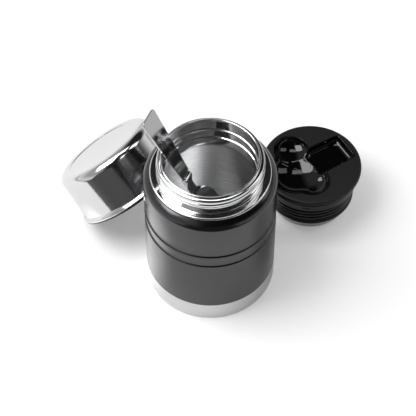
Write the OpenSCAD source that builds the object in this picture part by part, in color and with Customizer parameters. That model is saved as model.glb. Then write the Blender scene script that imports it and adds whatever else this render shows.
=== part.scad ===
// Insulated food jar with its screw stopper, screw-on cup and folding spoon taken off.
// The jar stands on the origin, +Z up. The cup leans on its left, the stopper stands on its right.

/* [Jar] */
// Outer radius of the painted body
body_r = 47; // [45:0.5:54]
// Height from the floor to the top of the lip
jar_h = 130; // [120:1:160]
// Thickness of every steel wall
steel_t = 0.6; // [0.4:0.1:0.7]
// Height of the bare steel band round the base
band_h = 16.6; // [12:0.2:24]
// Radius of the rolled edge at the foot
foot_roll = 1.6; // [1:0.1:2.5]
// How far the middle of the base is raised off the floor
foot_h = 1.2; // [0.8:0.1:2]
// Width of the ring that the jar stands on
foot_w = 4; // [3:0.5:8]
// Height of the sloping shoulder
shoulder_h = 8.3; // [6:0.1:14]
// Depth of the two rolled grooves
groove_d = 0.8; // [0.3:0.1:1.2]
// Height of one groove, flanks included
groove_w = 7.4; // [4:0.2:9]
// Empty space between the inner and the outer wall
vacuum_gap = 4.5; // [3:0.1:5]

/* [Neck and mouth] */
// How far the shoulder draws in from the body to the edge of the ledge
shoulder_w = 4.6; // [3:0.1:6]
// Height of the neck from the ledge to the top of the lip
neck_h = 14.6; // [13:0.2:20]
// Radius of the rounded bead that forms the lip
lip_bead = 0.75; // [0.6:0.05:1]
// Space between the two walls of the neck
neck_gap = 2.6; // [2.2:0.1:3.2]
// Width of the flat ledge round the neck
ledge_w = 5.2; // [3:0.1:6]
// Radius of the turned-down edge of the ledge
ledge_roll = 1; // [0.8:0.1:1.5]
// Height of the thread ridge round the neck
thread_d = 1.4; // [1:0.1:1.8]
// Depth from the top of the lip to the seat of the gasket
seat_depth = 18.5; // [15:0.5:24]
// Width of the seat
seat_w = 1; // [0.8:0.1:1.4]
// Height of the narrow band below the seat
seat_h = 7.5; // [5:0.5:12]
// Height over which the inner wall widens below that band
flare_h = 11; // [8:0.5:16]

/* [Inner parts of the jar] */
// Height of the free space between the base cup and the sealing plate
base_gap = 3.4; // [2.5:0.1:6]
// Radius of the corner between the inner wall and the inner floor
well_round = 9; // [5:0.5:14]
// Thickness of the reflecting foil
foil_t = 0.2; // [0.1:0.05:0.3]
// Radius of the getter disc
getter_r = 7; // [4:0.5:12]
// Thickness of the getter disc
getter_t = 1.4; // [1:0.1:2]
// Radius of the dimple where the air was drawn out
tip_r = 3; // [2:0.5:5]

/* [Stopper] */
// How far the disc on top stays inside the crest of the neck's thread
disc_in = 1.1; // [1:0.1:2]
// Thickness of the disc
disc_t = 3; // [2.5:0.1:4]
// Radius of the rounded upper edge of the disc
disc_round = 1.6; // [0.8:0.1:2]
// Height of the shadow gap under the disc
gap_h = 1.5; // [1:0.1:2]
// Depth of the shadow gap
gap_d = 0.7; // [0.4:0.1:0.9]
// Height of the tapered skirt
skirt_h = 9; // [8:0.5:14]
// How far the upper edge of the skirt stays inside the wall of the neck
skirt_in = 0.6; // [0.2:0.1:0.8]
// How much the skirt narrows towards its lower edge
skirt_taper = 1.8; // [1:0.1:2]
// Wall of the moulded stopper
mould_t = 1.2; // [1:0.1:1.3]
// Clearance between the plug and the mouth, without the thread
plug_fit = 2; // [1.6:0.1:2.6]
// Thickness of the gasket
gasket_t = 3; // [2:0.1:4]
// How far the gasket stands out past the seat
gasket_lap = 0.6; // [0.3:0.1:0.8]
// How far the steel pan under the stopper stays inside the plug
pan_in = 2.4; // [1.9:0.1:4.4]
// Height of the steel pan
pan_h = 9; // [6:0.5:12]

/* [Spoon tray] */
// Wall of the tray
tray_t = 1.2; // [1:0.1:1.2]
// Room all round the bowl of the spoon in the round hollow
hollow_room = 2.4; // [1.5:0.1:2.5]
// Depth of that hollow
hollow_d = 11; // [9:0.5:12]
// Width of the disc outside the round hollow
tray_margin = 4.1; // [4.1:0.1:5.5]
// Room on each side of the handle of the spoon in its slot
slot_room = 1.6; // [0.8:0.1:1.7]
// Width of the disc outside the end of the slot
slot_margin = 6.1; // [6:0.1:7.5]
// Depth of the slot
slot_d = 6; // [5:0.1:6.2]
// Radius of the finger hollow at the front
finger_r = 10.5; // [8:0.5:11]
// Radius of the finger hollow at the back
thumb_r = 12.5; // [10:0.5:13]
// Radius of the nubs that hold the folded spoon
nub_r = 0.9; // [0.6:0.1:1.2]

/* [Cup] */
// How far the lip of the cup flares out past its wall
cup_flare = 2.2; // [1.5:0.1:4]
// Wall of the threaded ring where the cup's wall meets it
ring_t = 0.5; // [0.5:0.1:1.5]
// Height of the cup
cup_h = 39.2; // [34:0.1:48]
// Radius of the rounded edge of the closed end
cup_round = 6; // [4:0.5:9]
// Height of the flared lip
flare_lip_h = 4; // [3.5:0.1:6]
// Radius of the rolled bead of the cup's lip
cup_bead = 0.8; // [0.7:0.1:1]
// How much the wall narrows towards the closed end
cup_taper = 0.5; // [0.2:0.1:1]
// Height of the threaded ring in the mouth of the cup
ring_h = 12; // [9:0.5:13]
// Running clearance between the neck thread and the ring
thread_fit = 0.3; // [0.2:0.05:0.3]

/* [Spoon] */
// Length of the handle from its pivot to its free end
handle_l = 62; // [50:0.5:62]
// Width of the handle at its free end
handle_w = 16.4; // [12:0.2:17]
// Width of the handle near its pivot
handle_nose_w = 10; // [9:0.2:12]
// Thickness of the handle
handle_t = 1.4; // [1:0.1:1.6]
// Rounding of the corners of the handle
handle_round = 2.5; // [1:0.1:4]
// Length of the bowl part from the pivot to its tip
bowl_reach = 58; // [50:0.5:60]
// Length of the bowl itself
bowl_l = 44; // [38:0.5:46]
// Width of the bowl
bowl_w = 34; // [28:0.5:36]
// Depth of the bowl
bowl_d = 7.5; // [5:0.5:8.5]
// Thickness of the metal of the bowl part
bowl_t = 1.2; // [1:0.1:1.4]
// Radius of the rivet
rivet_r = 1.1; // [0.9:0.05:1.2]
// Running clearance round the rivet
rivet_fit = 0.05; // [0.03:0.01:0.09]
// Wall of the eye that turns on the rivet
eye_t = 1; // [0.8:0.05:1.2]
// Width of the eye
eye_w = 5.6; // [4.5:0.1:6.4]
// Gap on each side of the eye
eye_gap = 0.2; // [0.1:0.05:0.3]
// Thickness of an ear of the fork
ear_t = 1; // [0.8:0.1:1.2]

/* [How the pieces stand] */
// Gap that is left where two pieces lean on each other
rest_gap = 0.3; // [0.2:0.05:0.4]
// Direction from the jar to the middle of the cup's mouth
cup_bearing = 140.2; // [130:0.1:150]
// Direction in which the closed end of the cup leans
cup_lean_bearing = 142.4; // [132:0.1:152]
// Lean of the cup from the upright
cup_lean = 45.4; // [40:0.1:50]
// Direction from the jar to the stopper
stopper_bearing = 40; // [30:0.5:50]
// Gap between the jar and the disc of the stopper
stopper_gap = 14.5; // [5:0.5:30]
// Turn of the spoon tray about the upright
tray_turn = 31; // [0:1:60]
// Place on the lip where the handle rests
spoon_bearing = 163; // [155:0.5:170]
// Direction in which the handle leans
spoon_lean_bearing = 160.1; // [155:0.1:165]
// Lean of the handle from the upright
spoon_lean = 26.8; // [24:0.1:30]
// Twist of the handle about its own length
spoon_twist = -4.8; // [-6:0.1:0]
// Length of handle between the lip and the pivot
handle_inside = 32; // [28:0.5:36]

/* [Hidden] */
$fn = 96;
// Overrun of every cut past the face that it opens
over = 1;

// Heights on the jar
ledge_z = jar_h - neck_h;
shoulder_z = ledge_z - shoulder_h;
// The body's wall ends under a short upright edge of the ledge
shoulder_top_z = ledge_z - ledge_roll - steel_t / 2;
plate_z = foot_h + steel_t + base_gap;
well_z = plate_z + 2 * steel_t + vacuum_gap;
seat_z = jar_h - seat_depth;
flare_top_z = seat_z - seat_h;
flare_z = flare_top_z - flare_h;
// Radii on the jar
ledge_r = body_r - shoulder_w;
neck_r = ledge_r - ledge_w;
mouth_r = neck_r - neck_gap - 2 * steel_t;
crest_r = neck_r + thread_d;
seat_r = mouth_r - seat_w;
liner_r = body_r - vacuum_gap - 2 * steel_t;
sleeve_r = body_r - steel_t;
lip_r = mouth_r + lip_bead;
lip_z = jar_h - lip_bead;
// Middles of the grooves, as shares of the straight wall above the band
groove_place_shares = [0.574, 0.698];
// Lower and upper end of the foil, as shares of the straight inner wall
foil_end_shares = [0.08, 0.95];
// Control points of the shoulder and of the top of the neck, as shares of their heights
shoulder_bend_share = 0.4;
neck_top_share = 0.22;
neck_bend_share = 0.85;
// Fillet at the root of the neck, as a share of the ledge
root_fillet_share = 0.16;

// Heights on the stopper
plug_z = pan_h + seat_depth;
skirt_z = plug_z + skirt_h;
disc_z = skirt_z + gap_h;
stopper_h = disc_z + disc_t;
// Radii on the stopper
disc_r = crest_r - disc_in;
skirt_r = neck_r - skirt_in;
plug_r = mouth_r - plug_fit;
pan_r = plug_r - pan_in;
gasket_seat_r = plug_r - mould_t;
gasket_r = seat_r + gasket_lap;
skirt_low_r = skirt_r - skirt_taper;
gap_r = skirt_r - gap_d;
pan_flange_r = plug_r;
tray_foot_z = stopper_h - hollow_d - tray_t;
// The folded spoon lies in the round hollow and the slot
hollow_r = bowl_w / 2 + hollow_room;
tray_reach = disc_r - tray_margin;
slot_w = handle_w + 2 * slot_room;
slot_reach = disc_r - slot_margin;
// Rounding of the skirt's lower edge, as a share of the mould's wall
skirt_round_share = 0.8;
// Straight part of the wall of a hollow, as a share of its depth
hollow_wall_share = 0.22;
// Depth of a finger hollow, as a share of the depth of the slot
finger_depth_share = 1.2;
thumb_depth_share = 1.05;
// Places of the finger hollows, as shares of the reach of the tray
finger_place_shares = [-0.12, -0.36];
thumb_place_shares = [-0.06, 0.44];
// Place of the nubs along the slot, as a share of its reach
nub_place_share = 0.64;
// Depth of the nubs, as a share of the depth of the slot
nub_depth_share = 0.3;
// Rounding along the bottom of the slot, as a share of its depth
slot_round_share = 0.6;

// The cup and the ring inside it
ring_inner_r = crest_r + thread_fit;
cup_inner_r = ring_inner_r + ring_t;
cup_r = cup_inner_r + steel_t;
cup_lip_r = cup_r + cup_flare;
flare_inner_r = cup_lip_r - 2 * cup_bead;
// Height of the ring's flange, as a share of the flared lip
flange_share = 0.5;
// Recessed panel on the closed end: its radius and depth as shares
panel_r_share = 0.72;
panel_d_share = 0.6;

// The hinge of the spoon
eye_r = rivet_r + rivet_fit + eye_t;
ear_r = eye_r + eye_gap;
ear_y = eye_w / 2 + eye_gap;
fork_w = 2 * (ear_y + ear_t);
// The stem passes under the folded handle with this much room
fold_room = 0.5;
stem_x = handle_t / 2 + fold_room;
// Length of the ears below the pivot, in radii of an ear
ear_tail_share = 2.9;
// Start of the full handle above the pivot and end of its shoulder, in radii of an ear
nose_shares = [1.3, 2.6];
// Radius of a rivet head over the radius of the rivet, and its thickness over the ear's
head_r_share = 1.8;
head_t_share = 0.7;
// Narrowing of the bowl towards the stem
egg_share = 0.16;
// Roundness of the hollow of the bowl, as a power
hollow_power = 2.2;
bowl_rings = 7;
bowl_sides = 40;

// Points of an arc about c, from one angle to another
function arc(c, r, a0, a1, n = 8) =
  [for (i = [0 : n]) let (a = a0 + (a1 - a0) * i / n) c + r * [cos(a), sin(a)]];
// Points of a curve that leaves p0 towards p1 and arrives at p3 from p2
function curve(p0, p1, p2, p3, n = 10) = [for (i = [0 : n]) let (t = i / n, s = 1 - t)
  p0 * s * s * s + p1 * 3 * s * s * t + p2 * 3 * s * t * t + p3 * t * t * t];
// Unit vector to the left of the step from p to q
function left_of(p, q) = [p[1] - q[1], q[0] - p[0]] / norm(q - p);
// A path moved to its left by t, with mitred corners
function beside(path, t) = [for (i = [0 : len(path) - 1])
  let (last = len(path) - 1,
       a = left_of(path[max(i - 1, 0)], path[max(i, 1)]),
       b = left_of(path[min(i, last - 1)], path[min(i + 1, last)]),
       m = a + b)
  path[i] + m * 2 * t / (m * m)];
function reversed(list) = [for (i = [len(list) - 1 : -1 : 0]) list[i]];
// A groove rolled into the wall at height z
function groove(z) = [
  [body_r, z - groove_w / 2], [body_r - groove_d, z - groove_w / 2 + groove_d],
  [body_r - groove_d, z + groove_w / 2 - groove_d], [body_r, z + groove_w / 2]];
// Share of the way from one value to another
function between(a, b, share) = a + (b - a) * share;

// Sheet of thickness t turned about the axis, on the left of the path
module spun(path, t) {
  rotate_extrude() polygon(concat(path, reversed(beside(path, t))));
}
// Tube between two radii and two heights
module tube(inner, outer, low, high) {
  rotate_extrude() polygon([[inner, low], [outer, low], [outer, high], [inner, high]]);
}

// Jar

module body_shell() {
  grooves = [for (s = groove_place_shares) each groove(between(band_h, shoulder_z, s))];
  bend = between(shoulder_z, shoulder_top_z, shoulder_bend_share);
  path = concat(
    [[sleeve_r, plate_z], [sleeve_r, band_h], [body_r, band_h]],
    grooves,
    curve([body_r, shoulder_z], [body_r, bend], [between(body_r, ledge_r, 0.5), bend
      + (shoulder_top_z - bend) / 2], [ledge_r, shoulder_top_z - steel_t]),
    [[ledge_r, shoulder_top_z]]);
  color([0.2, 0.2, 0.21]) spun(path, steel_t);
}

module neck_ring() {
  fillet = ledge_w * root_fillet_share;
  top_z = lip_z - lip_bead;
  turn_z = top_z - neck_h * neck_top_share;
  path = concat(
    [[ledge_r, shoulder_top_z]],
    arc([ledge_r - ledge_roll, ledge_z - ledge_roll], ledge_roll, 0, 90),
    arc([neck_r + fillet, ledge_z + fillet], fillet, 270, 180, 4),
    curve([neck_r, turn_z], [neck_r, between(turn_z, top_z, neck_bend_share)],
      [between(neck_r, lip_r, neck_bend_share / 2), top_z], [between(neck_r, lip_r, neck_bend_share), top_z]),
    [[mouth_r + steel_t, top_z]]);
  color([0.8, 0.8, 0.81]) spun(path, steel_t);
}

module liner() {
  path = concat(
    [[0, well_z]],
    arc([liner_r - well_round, well_z + well_round], well_round, -90, 0),
    curve([liner_r, flare_z], [liner_r, between(flare_z, flare_top_z, 0.6)],
      [seat_r, between(flare_z, flare_top_z, 0.4)], [seat_r, flare_top_z]),
    [[seat_r, seat_z - seat_w / 2], [mouth_r, seat_z], [mouth_r, lip_z]]);
  color([0.82, 0.82, 0.83]) {
    spun(path, -steel_t);
    rotate_extrude() translate([lip_r, lip_z]) circle(lip_bead, $fn = 24);
  }
}

module reflector_foil() {
  low = well_z + well_round;
  inner = liner_r + steel_t;
  color([0.85, 0.6, 0.4]) tube(inner, inner + foil_t,
    between(low, flare_z, foil_end_shares[0]), between(low, flare_z, foil_end_shares[1]));
}

module vacuum_plate() {
  rim_r = sleeve_r - steel_t;
  path = concat(
    [[0, plate_z + tip_r / 2], [tip_r / 2, plate_z + tip_r / 2], [tip_r, plate_z]],
    [[rim_r - tip_r, plate_z], [rim_r, plate_z + tip_r], [rim_r, plate_z + tip_r + steel_t]]);
  color([0.7, 0.7, 0.71]) spun(path, steel_t);
}

module getter() {
  color([0.5, 0.5, 0.5]) tube(0, getter_r, well_z - steel_t - getter_t, well_z - steel_t);
}

module base_cup() {
  inner_foot = body_r - foot_roll - foot_w;
  path = concat(
    [[0, foot_h], [inner_foot - foot_h, foot_h], [inner_foot, 0]],
    arc([body_r - foot_roll, foot_roll], foot_roll, -90, 0),
    [[body_r, band_h]]);
  color([0.78, 0.78, 0.79]) spun(path, steel_t);
}

// Stopper

// A round hollow with a rounded floor, open at height zero
module round_hollow(r, d) {
  wall = d * hollow_wall_share;
  // The floor is a curve that leaves the wall upright and meets the axis level
  floor = curve([r, -wall], [r, between(-wall, -d, 0.75)], [r / 2, -d], [0, -d]);
  rotate_extrude() polygon(concat([[0, over], [r, over]], floor));
}

// The space that the tray leaves open, grown by g on every side
module tray_space(g) {
  half = slot_w / 2 + g;
  low = -slot_d - g;
  bend = slot_d * slot_round_share;
  slot = concat([[-half, over]], arc([-half + bend, low + bend], bend, 180, 270),
    arc([half - bend, low + bend], bend, 270, 360), [[half, over]]);
  translate([0, 0, stopper_h]) rotate([0, 0, tray_turn]) {
    translate([hollow_r - tray_reach, 0, 0]) round_hollow(hollow_r + g, hollow_d + g);
    translate([hollow_r - tray_reach, 0, 0]) rotate([90, 0, 90])
      linear_extrude(slot_reach + g + tray_reach - hollow_r) polygon(slot);
    translate(concat(finger_place_shares * tray_reach, [0]))
      round_hollow(finger_r + g, slot_d * finger_depth_share + g);
    translate(concat(thumb_place_shares * tray_reach, [0]))
      round_hollow(thumb_r + g, slot_d * thumb_depth_share + g);
  }
}

module stopper_place() {
  away = body_r + stopper_gap + disc_r;
  translate([away * cos(stopper_bearing), away * sin(stopper_bearing), 0]) children();
}

module stopper_cap() {
  outline = concat([[0, disc_z], [disc_r - disc_round / 2, disc_z]],
    [[disc_r, disc_z + disc_round / 2]],
    arc([disc_r - disc_round, stopper_h - disc_round], disc_round, 0, 90), [[0, stopper_h]]);
  color([0.13, 0.13, 0.13]) stopper_place() difference() {
    rotate_extrude() polygon(outline);
    tray_space(tray_t);
  }
}

module spoon_tray() {
  half = slot_w / 2;
  color([0.03, 0.03, 0.03]) stopper_place() {
    difference() {
      intersection() {
        tray_space(tray_t);
        tube(0, disc_r, 0, stopper_h);
      }
      tray_space(0);
    }
    translate([0, 0, stopper_h - slot_d * nub_depth_share]) rotate([0, 0, tray_turn])
      for (side = [-1, 1])
        translate([slot_reach * nub_place_share, side * half, 0]) sphere(nub_r, $fn = 24);
  }
}

module stopper_body() {
  bend = mould_t * skirt_round_share;
  path = concat(
    [[gasket_seat_r, pan_h], [gasket_seat_r, pan_h + gasket_t], [plug_r, pan_h + gasket_t]],
    [[plug_r, plug_z]],
    arc([skirt_low_r - bend, plug_z + bend], bend, -90, 0),
    [[skirt_r, skirt_z], [gap_r, skirt_z], [gap_r, disc_z]]);
  color([0.1, 0.1, 0.1]) stopper_place() spun(path, mould_t);
}

module stopper_foam() {
  r = pan_r - steel_t - rest_gap;
  top = tray_foot_z + hollow_d / 2;
  color([0.9, 0.88, 0.8]) stopper_place() difference() {
    rotate_extrude() polygon([[0, steel_t], [pan_r - foot_roll, steel_t], [r, foot_roll], [r, top], [0, top]]);
    tray_space(tray_t + rest_gap);
  }
}

module stopper_gasket() {
  edge = gasket_t / 4;
  low = pan_h;
  high = pan_h + gasket_t;
  color([0.08, 0.08, 0.08]) stopper_place() rotate_extrude() polygon(concat(
    [[gasket_seat_r, low]],
    [[gasket_r - edge * 2, low]],
    arc([gasket_r - edge, low + edge * 2], edge, -70, 70, 6),
    [[gasket_r - edge * 2, high], [gasket_seat_r, high]]));
}

module stopper_base() {
  edge = foot_roll;
  path = concat([[0, 0]], arc([pan_r - edge, edge], edge, -90, 0),
    [[pan_r, pan_h - steel_t * 2], [pan_r + steel_t, pan_h - steel_t],
     [pan_flange_r - steel_t, pan_h - steel_t], [pan_flange_r, pan_h - steel_t]]);
  color([0.8, 0.8, 0.81]) stopper_place() spun(path, steel_t);
}

// Cup

// Rim down on the floor and leaning with its near side on the jar
module cup_place() {
  reach = cup_lip_r - cup_bead;
  away = body_r + rest_gap + cup_bead * (1 - sin(cup_lean)) + reach * cos(cup_lean);
  height = reach * sin(cup_lean) + cup_bead * (1 - cos(cup_lean));
  translate([away * cos(cup_bearing), away * sin(cup_bearing), height])
    rotate([0, cup_lean, cup_lean_bearing]) children();
}

module cup_shell() {
  edge_r = cup_r - cup_taper;
  panel_r = cup_r * panel_r_share;
  panel_d = cup_bead * panel_d_share;
  path = concat(
    [[cup_lip_r - cup_bead, cup_bead * 2 ]],
    curve([cup_lip_r - cup_bead * 1.2, cup_bead * 2], [cup_r + cup_bead, cup_bead * 2.4],
      [cup_r, flare_lip_h / 2], [cup_r, flare_lip_h]),
    arc([edge_r - cup_round, cup_h - cup_round], cup_round, 0, 90, 10),
    [[panel_r + panel_d, cup_h], [panel_r, cup_h - panel_d], [0, cup_h - panel_d]]);
  color([0.82, 0.82, 0.83]) cup_place() {
    spun(path, steel_t);
    rotate_extrude() translate([cup_lip_r - cup_bead, cup_bead]) circle(cup_bead, $fn = 24);
  }
}

module cup_thread_ring() {
  flange_z = flare_lip_h * flange_share;
  color([0.05, 0.05, 0.05]) cup_place() rotate_extrude() polygon([
    [ring_inner_r, cup_bead / 2], [flare_inner_r, cup_bead / 2],
    [cup_inner_r, flange_z], [cup_inner_r, flare_lip_h],
    [cup_inner_r - rest_gap / 2, ring_h], [ring_inner_r, ring_h]]);
}

// Spoon

// Directions of the handle and of its upper face
lean_dir = [sin(spoon_lean) * cos(spoon_lean_bearing), sin(spoon_lean) * sin(spoon_lean_bearing),
  cos(spoon_lean)];
down_dir = [cos(spoon_lean) * cos(spoon_lean_bearing), cos(spoon_lean) * sin(spoon_lean_bearing),
  -sin(spoon_lean)];
side_dir = [-sin(spoon_lean_bearing), cos(spoon_lean_bearing), 0];
face_dir = -(down_dir * cos(spoon_twist) + side_dir * sin(spoon_twist));
// A point on the middle circle of the lip
function lip_point(a) = [lip_r * cos(a), lip_r * sin(a), lip_z];
// Width of the handle at a distance above its pivot
function handle_width(s) = between(handle_nose_w, handle_w, s / handle_l);
// The handle touches the lip first with one of its two edges
edge_turn = asin(handle_width(handle_inside) / 2 / lip_r);
rest_level = max(lip_point(spoon_bearing - edge_turn) * face_dir,
  lip_point(spoon_bearing + edge_turn) * face_dir) + lip_bead + rest_gap + handle_t / 2;
rest_point = lip_point(spoon_bearing);
pivot = rest_point + face_dir * (rest_level - rest_point * face_dir) - lean_dir * handle_inside;
echo(pivot = pivot, lean_dir = lean_dir, face_dir = face_dir,
  hinge_axis = cross(lean_dir, face_dir));

// Local frame: Z along the handle, Y along the rivet, X away from the upper face
module spoon_place() {
  translate(pivot) rotate([0, spoon_lean, spoon_lean_bearing]) rotate([0, 0, spoon_twist]) children();
}
// Slab of thickness t across the spoon, from an outline in X and Z
module across(t, y) {
  translate([0, y, 0]) rotate([90, 0, 0]) translate([0, 0, -t / 2]) linear_extrude(t) children();
}

// A point of the bowl: share 0 in its middle, share 1 on its rim
function bowl_point(share, a, x) = [
  x,
  share * bowl_w / 2 * sin(a) * (1 - egg_share * cos(a)),
  -bowl_reach + bowl_l / 2 + share * bowl_l / 2 * cos(a)];
function bowl_sink(share) = bowl_d * (1 - pow(share, hollow_power));

module bowl() {
  layer = 1 + bowl_rings * bowl_sides;
  top = concat([bowl_point(0, 0, stem_x + bowl_d)],
    [for (i = [1 : bowl_rings], k = [0 : bowl_sides - 1])
      bowl_point(i / bowl_rings, k * 360 / bowl_sides, stem_x + bowl_sink(i / bowl_rings))]);
  low = [for (p = top) p + [bowl_t, 0, 0]];
  function at(i, k) = 1 + (i - 1) * bowl_sides + k % bowl_sides;
  cap = [for (k = [0 : bowl_sides - 1]) [0, at(1, k + 1), at(1, k)]];
  bands = [for (i = [1 : bowl_rings - 1], k = [0 : bowl_sides - 1], half = [0, 1])
    half == 0 ? [at(i, k), at(i + 1, k + 1), at(i + 1, k)] : [at(i, k), at(i, k + 1), at(i + 1, k + 1)]];
  rim = [for (k = [0 : bowl_sides - 1], half = [0, 1])
    let (a = at(bowl_rings, k), b = at(bowl_rings, k + 1))
    half == 0 ? [a, b + layer, a + layer] : [a, b, b + layer]];
  upper = concat(cap, bands);
  lower = [for (f = upper) [f[0] + layer, f[2] + layer, f[1] + layer]];
  polyhedron(concat(top, low), concat(upper, lower, rim));
}

module ear_outline() {
  tail = ear_r * ear_tail_share;
  circle(ear_r, $fn = 48);
  polygon([[-ear_r, 0], [ear_r, 0], [stem_x + bowl_t, -tail], [stem_x, -tail]]);
}

module spoon_bowl() {
  stem_top = ear_r + eye_gap;
  stem_end = bowl_reach - bowl_l + bowl_l / 8;
  color([0.78, 0.78, 0.79]) spoon_place() difference() {
    union() {
      bowl();
      for (side = [-1, 1]) across(ear_t, side * (ear_y + ear_t / 2)) ear_outline();
      translate([stem_x, -fork_w / 2, -stem_end])
        cube([bowl_t, fork_w, stem_end - stem_top]);
    }
    across(fork_w + over, 0) circle(rivet_r, $fn = 48);
  }
}

module spoon_rivet() {
  head_t = ear_t * head_t_share;
  head_y = ear_y + ear_t + head_t / 2;
  color([0.7, 0.7, 0.71]) spoon_place() {
    across(fork_w, 0) circle(rivet_r, $fn = 48);
    for (side = [-1, 1]) across(head_t, side * head_y) circle(rivet_r * head_r_share, $fn = 48);
  }
}

module spoon_handle() {
  start = ear_r * nose_shares[0];
  full = ear_r * nose_shares[1];
  half = handle_w / 2;
  nose = handle_width(full) / 2;
  left = concat([[eye_w / 2, 0], [eye_w / 2, start]],
    curve([eye_w / 2, start], [nose, start], [nose, between(start, full, 0.5)], [nose, full], 6),
    arc([half - handle_round, handle_l - handle_round], handle_round, 0, 90, 6));
  outline = concat(left, reversed([for (p = left) [-p[0], p[1]]]));
  color([0.78, 0.78, 0.79]) spoon_place() difference() {
    union() {
      rotate([90, 0, 90]) translate([0, 0, -handle_t / 2]) linear_extrude(handle_t) polygon(outline);
      across(eye_w, 0) circle(eye_r, $fn = 48);
    }
    across(eye_w + over, 0) circle(rivet_r + rivet_fit, $fn = 48);
  }
}

body_shell();
neck_ring();
liner();
reflector_foil();
vacuum_plate();
getter();
base_cup();
stopper_cap();
spoon_tray();
stopper_body();
stopper_foam();
stopper_gasket();
stopper_base();
cup_shell();
cup_thread_ring();
spoon_bowl();
spoon_rivet();
spoon_handle();
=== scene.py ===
# %% [markdown]
# # A food jar that keeps its food warm, taken apart
# The jar stands open with its folding spoon in the mouth. Its cup leans on the left side, and its
# screw stopper stands on the right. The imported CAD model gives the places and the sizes. This lesson
# builds finer skins over it: turned sheet metal, moulded plastic, threads and a hollowed spoon tray.
# All sizes below are in millimetres, and MM turns them into Blender's metres.

# %% Load the fixed frame
import math

import bmesh
import bpy
from mathutils import Matrix, Vector


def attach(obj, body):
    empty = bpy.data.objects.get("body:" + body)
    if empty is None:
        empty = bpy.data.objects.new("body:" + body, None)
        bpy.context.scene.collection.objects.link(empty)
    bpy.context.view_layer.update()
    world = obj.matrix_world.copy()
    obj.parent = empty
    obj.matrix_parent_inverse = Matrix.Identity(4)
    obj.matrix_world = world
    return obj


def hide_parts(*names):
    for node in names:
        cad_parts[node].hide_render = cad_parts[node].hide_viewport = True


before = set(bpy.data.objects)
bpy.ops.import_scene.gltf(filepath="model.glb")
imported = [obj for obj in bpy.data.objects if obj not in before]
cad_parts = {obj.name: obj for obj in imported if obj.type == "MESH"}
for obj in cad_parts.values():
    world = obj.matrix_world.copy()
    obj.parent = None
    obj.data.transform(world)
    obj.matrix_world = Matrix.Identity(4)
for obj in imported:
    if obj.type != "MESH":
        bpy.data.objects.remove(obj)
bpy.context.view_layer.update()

MM = 0.001
TINY = 1e-6
SCENE = bpy.context.scene


def add_object(name, data):
    """Puts a mesh, a camera or a lamp into the scene."""
    made = bpy.data.objects.new(name, data)
    SCENE.collection.objects.link(made)
    return made


# %% [markdown]
# ## Camera
# The photograph looks down on the jar from about 54 degrees, and a long lens stands more than a metre
# away, so the circles stay nearly true ellipses. The numbers come from fitting the rims of the jar.

# %% Camera
VIEW_LENS = 147.46
VIEW_ELEVATION = math.radians(53.52)
VIEW_DISTANCE = 1214.2
VIEW_TARGET = Vector((-1.74, 0, 71.47))

camera = add_object("camera", bpy.data.cameras.new("camera"))
camera.data.lens = VIEW_LENS
back_off = Vector((0, -math.cos(VIEW_ELEVATION), math.sin(VIEW_ELEVATION))) * VIEW_DISTANCE
camera.location = (VIEW_TARGET + back_off) * MM
camera.rotation_euler = (math.pi / 2 - VIEW_ELEVATION, 0, 0)
SCENE.camera = camera
SCENE.view_settings.view_transform = "Standard"
print("camera at", [round(v, 3) for v in camera.location])

# %% [markdown]
# ## Small tools for shader nodes
# A finish is a Principled shader with a pattern behind its roughness and its bump. Small helpers keep
# each finish short: they add a node and join it, do one step of arithmetic, or make a material.

# %% Helpers for materials
def grey(level):
    """A neutral colour."""
    return (level, level, level, 1)


def add_node(tree, kind, inputs=None, **settings):
    """A new node. An input given as a socket is joined, and any other value is set."""
    made = tree.nodes.new(kind)
    for key, value in settings.items():
        setattr(made, key, value)
    for key, value in (inputs or {}).items():
        if isinstance(value, bpy.types.NodeSocket):
            tree.links.new(value, made.inputs[key])
        else:
            made.inputs[key].default_value = value
    return made


def reckon(tree, operation, *values):
    """One step of arithmetic on sockets or numbers."""
    return add_node(tree, "ShaderNodeMath", dict(enumerate(values)), operation=operation).outputs[0]


def new_finish(name, values):
    """A material with one Principled shader, and that material's node tree and shader."""
    material = bpy.data.materials.new(name)
    material.use_nodes = True
    shader = material.node_tree.nodes["Principled BSDF"]
    for socket, value in values.items():
        shader.inputs[socket].default_value = value
    return material, material.node_tree, shader


def object_place(tree):
    """Object coordinates, in metres."""
    return add_node(tree, "ShaderNodeTexCoord").outputs["Object"]


def turned_place(tree, lines_per_mm, around):
    """Coordinates on a turned piece that change fast along its profile and slowly round its axis."""
    uv = add_node(tree, "ShaderNodeTexCoord").outputs["UV"]
    parts = add_node(tree, "ShaderNodeSeparateXYZ", {"Vector": uv})
    angle = reckon(tree, "MULTIPLY", parts.outputs["X"], math.tau)
    sides = [reckon(tree, "MULTIPLY", reckon(tree, wave, angle), around) for wave in ("COSINE", "SINE")]
    along = reckon(tree, "MULTIPLY", parts.outputs["Y"], lines_per_mm)
    joined = add_node(tree, "ShaderNodeCombineXYZ", {"X": sides[0], "Y": sides[1], "Z": along})
    return joined.outputs["Vector"]


def noise(tree, place, scale, detail=2.0, roughness=0.5):
    """The grey output of a noise texture."""
    inputs = {"Vector": place, "Scale": scale, "Detail": detail, "Roughness": roughness}
    return add_node(tree, "ShaderNodeTexNoise", inputs).outputs["Fac"]


def spread(tree, value, low, high, start=0.3, end=0.7):
    """A grey value stretched from start..end to low..high."""
    inputs = {"Value": value, "From Min": start, "From Max": end, "To Min": low, "To Max": high}
    return add_node(tree, "ShaderNodeMapRange", inputs).outputs["Result"]


def roughen(tree, shader, value, low, high):
    """Roughness that wanders between two values."""
    tree.links.new(spread(tree, value, low, high), shader.inputs["Roughness"])


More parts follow.
